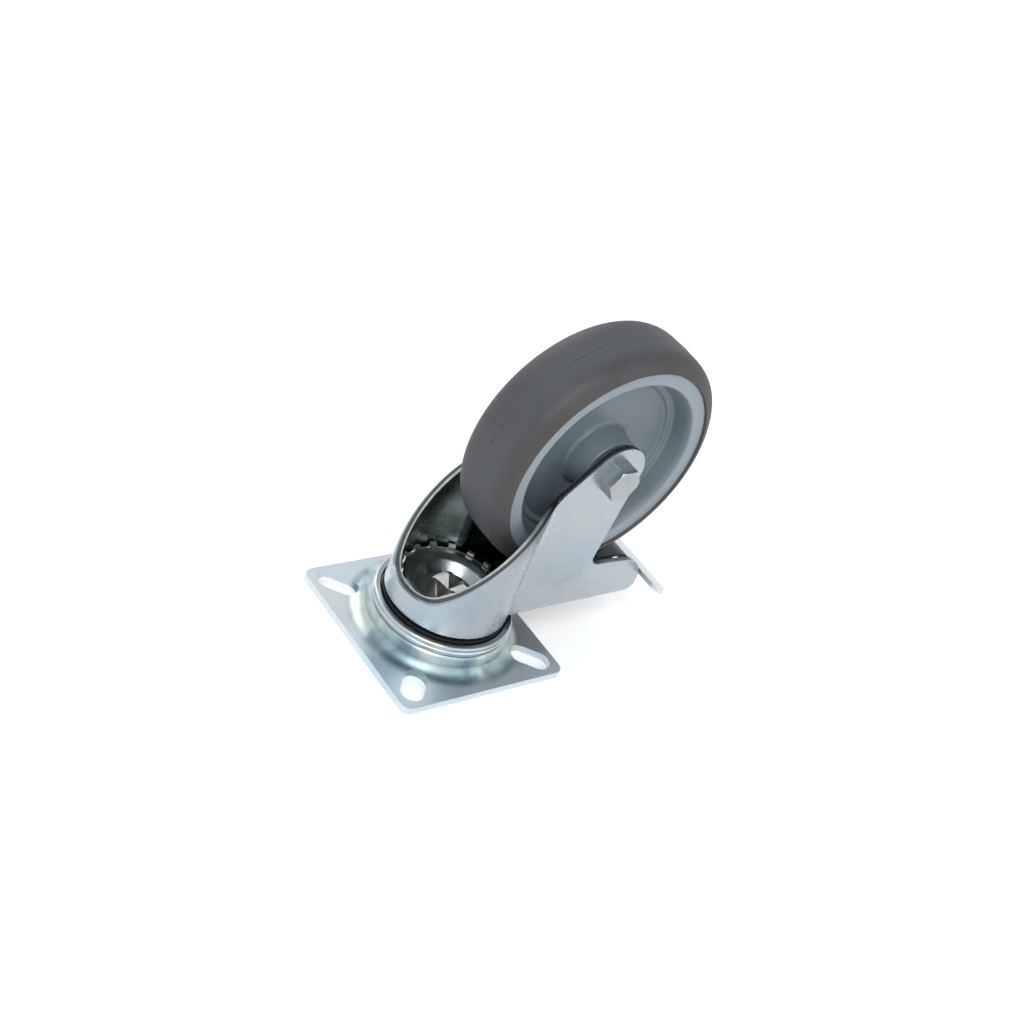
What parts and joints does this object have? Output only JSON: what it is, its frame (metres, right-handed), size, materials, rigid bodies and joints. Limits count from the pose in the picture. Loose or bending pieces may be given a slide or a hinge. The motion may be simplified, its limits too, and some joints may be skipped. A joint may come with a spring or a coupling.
{
  "type": "swivel castor",
  "caption": "Plate-mounted swivel castor with ball-raced pressed fork, offset rubber-tyred wheel on a through bolt and a foot-operated brake pedal.",
  "frame": {"origin": "on the swivel axis, in the top plate's mounting face", "axes": "+Z runs from the mounting face along the swivel axis to the wheel, so the castor stands on its plate; the fork trails along +X; the axle runs along Y with the bolt head towards -Y"},
  "size_m": [0.1014, 0.06, 0.1063],
  "materials": {
    "zinc_sheet": "bright zinc with a faint blue and yellow tint",
    "zinc_race": "bright zinc",
    "zinc_pin": "bright zinc",
    "zinc_fork": "bright zinc",
    "ball_steel": "polished and greased",
    "black_plastic": "matte",
    "nylon": "natural nylon",
    "spring_steel": "plain spring steel",
    "grey_plastic": "moulded, satin",
    "grey_rubber": "matte thermoplastic rubber"
  },
  "bodies": {
    "plate": {"top_plate": "zinc_sheet", "lower_race": "zinc_race", "kingpin": "zinc_pin", "upper_race": "zinc_race", "lower_balls": "ball_steel", "upper_balls": "ball_steel", "ball_cage": "black_plastic"},
    "fork": {"fork": "zinc_fork", "tab_ring": "zinc_race", "axle_tube": "zinc_pin", "axle_bolt": "zinc_pin", "axle_nut": "zinc_pin", "nut_insert": "nylon", "pivot_pin": "zinc_pin", "leaf_spring": "spring_steel"},
    "wheel": {"wheel_rim": "grey_plastic", "tyre": "grey_rubber"},
    "brake": {"brake_lever": "zinc_fork", "brake_shoe": "spring_steel", "shoe_rivet": "zinc_pin"}
  },
  "joints": [
    {"name": "swivel", "type": "hinge", "parent": "plate", "child": "fork", "pos_m": [0, 0, 0.0132], "axis": [0, 0, 1], "continuous": true},
    {"name": "wheel_spin", "type": "hinge", "parent": "fork", "child": "wheel", "pos_m": [0.0314, 0, 0.0663], "axis": [0, 1, 0], "continuous": true},
    {"name": "brake_pedal", "type": "hinge", "parent": "fork", "child": "brake", "pos_m": [0.043, 0, 0.021], "axis": [0, -1, 0], "range_deg": [0, 11], "deforming": ["leaf_spring"]}
  ]
}
